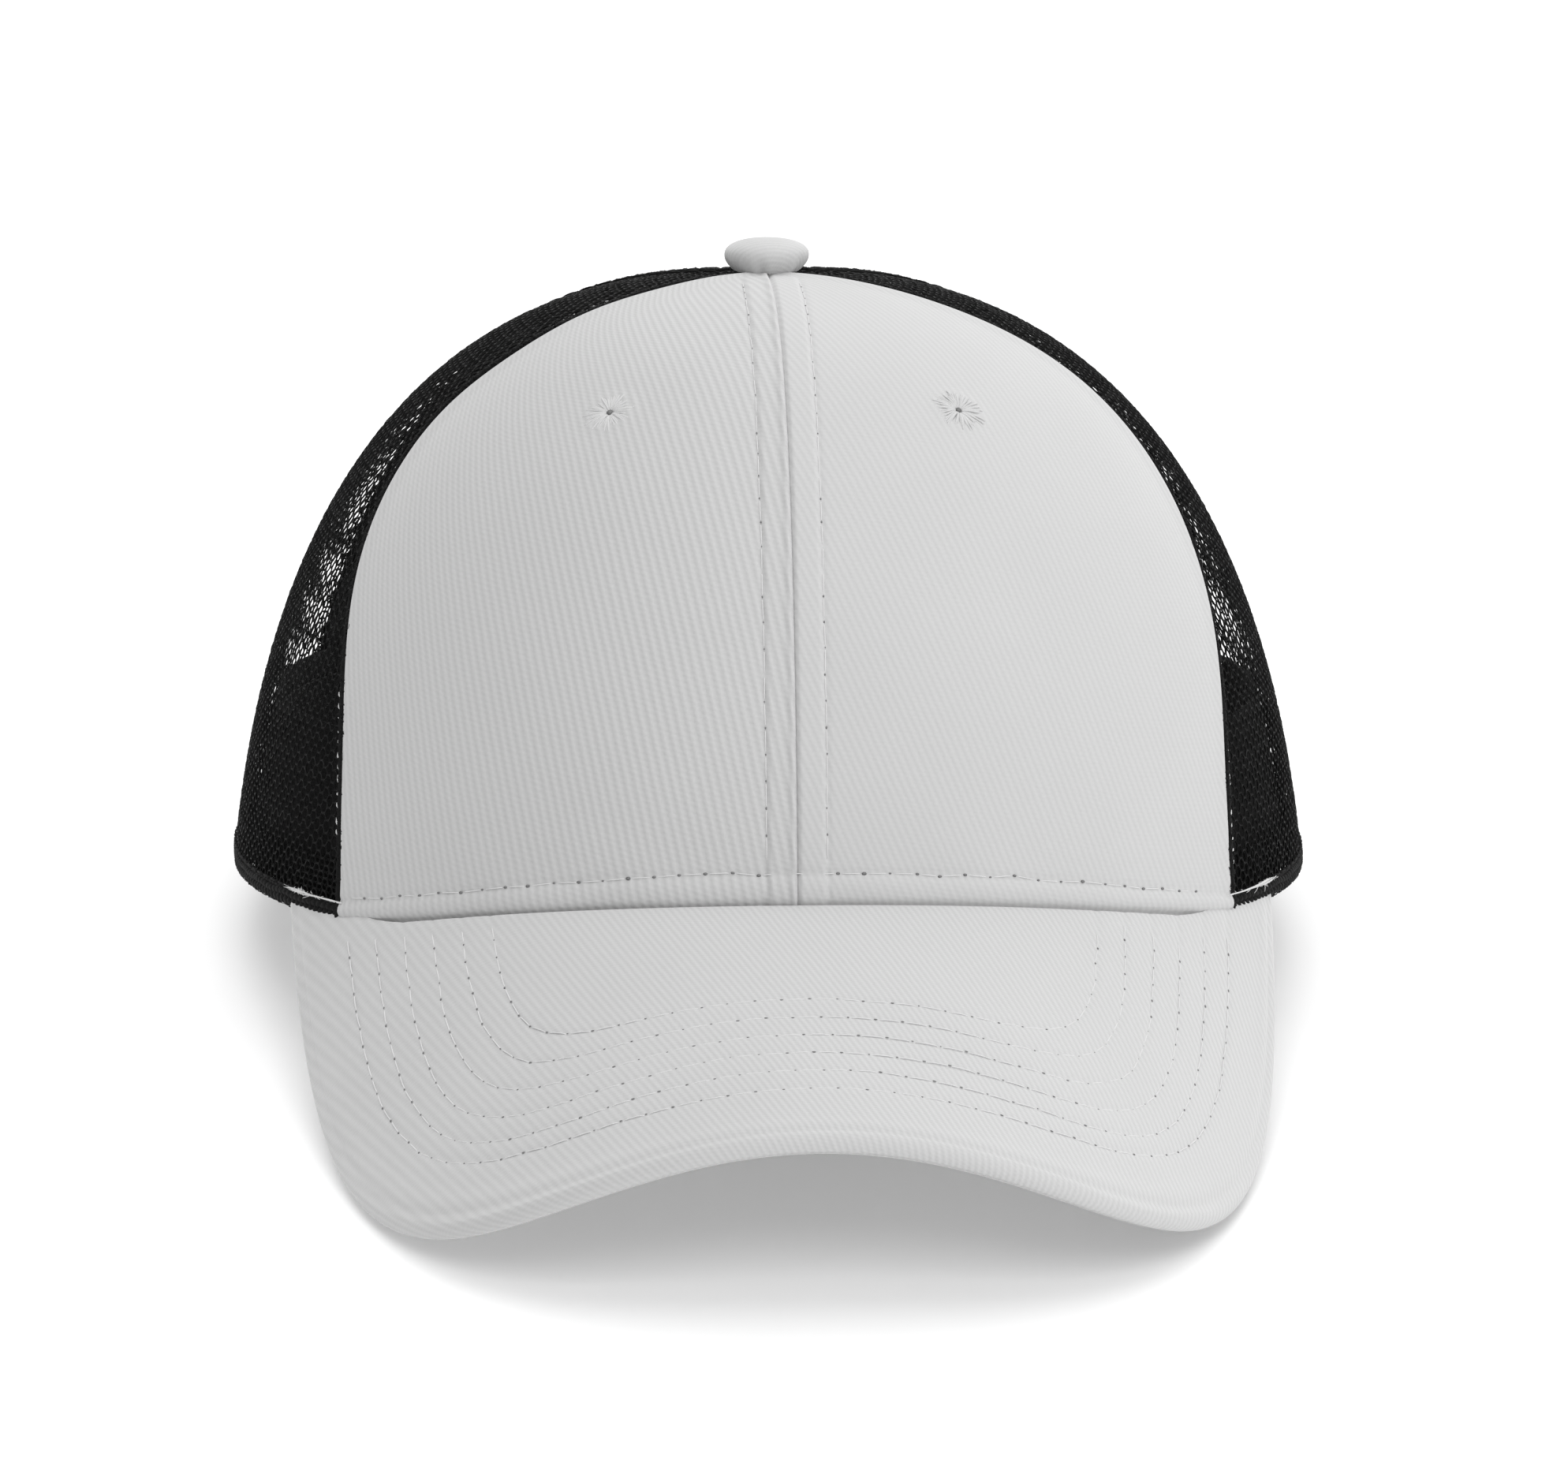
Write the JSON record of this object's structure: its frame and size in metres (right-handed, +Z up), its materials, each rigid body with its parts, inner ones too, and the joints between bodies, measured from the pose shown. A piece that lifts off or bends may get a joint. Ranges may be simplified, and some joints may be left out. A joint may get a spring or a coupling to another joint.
{
  "type": "trucker mesh cap",
  "caption": "Trucker cap with structured twill front panels, open mesh sides and back, a curved stitched visor and a snap strap across the rear opening.",
  "frame": {"origin": "on the surface the cap stands on, under the middle of its bounding box", "axes": "+Z up, the visor points to -Y, +X to the right as seen from the front"},
  "size_m": [0.1768, 0.2518, 0.1166],
  "materials": {
    "white_twill": "matte diagonal cotton twill",
    "buckram": "stiff open weave",
    "black_mesh": "knitted polyester net, slight sheen",
    "white_thread": "satin embroidery thread",
    "black_tape": "matte woven tape",
    "sweatband_cloth": "matte brushed cloth",
    "visor_board_plastic": "matte moulded sheet",
    "button_metal": "pressed sheet",
    "strap_plastic": "satin moulded plastic"
  },
  "bodies": {
    "cap": {"front_panel_left": "white_twill", "buckram_left": "buckram", "side_mesh_left": "black_mesh", "rear_mesh_left": "black_mesh", "mesh_hem_left": "black_mesh", "eyelet_left": "white_thread", "seam_tape_temple_left": "black_tape", "seam_tape_side_left": "black_tape", "front_panel_right": "white_twill", "buckram_right": "buckram", "side_mesh_right": "black_mesh", "rear_mesh_right": "black_mesh", "mesh_hem_right": "black_mesh", "eyelet_right": "white_thread", "seam_tape_temple_right": "black_tape", "seam_tape_side_right": "black_tape", "seam_tape_front": "black_tape", "seam_tape_rear": "black_tape", "sweatband": "sweatband_cloth", "rear_binding": "black_tape", "visor_board": "visor_board_plastic", "visor_top_cover": "white_twill", "visor_under_cover": "white_twill", "button_cover": "white_twill", "button_shell": "button_metal", "button_prong": "button_metal", "hole_strap_tab": "strap_plastic", "peg_strap_tab": "strap_plastic"},
    "hole_strap": {"hole_strap": "strap_plastic"},
    "peg_strap": {"peg_strap": "strap_plastic"}
  },
  "joints": [
    {"name": "hole_strap_flex", "type": "hinge", "parent": "cap", "child": "hole_strap", "pos_m": [0.03827, 0.11444, 0.01006], "axis": [0.0714, -0.0339, -0.9969], "range_deg": [0, 70], "stiffness_Nm_per_rad": 0.016},
    {"name": "peg_strap_flex", "type": "hinge", "parent": "cap", "child": "peg_strap", "pos_m": [-0.03827, 0.11444, 0.01006], "axis": [-0.0714, -0.0339, -0.9969], "range_deg": [0, 35], "stiffness_Nm_per_rad": 0.016}
  ]
}
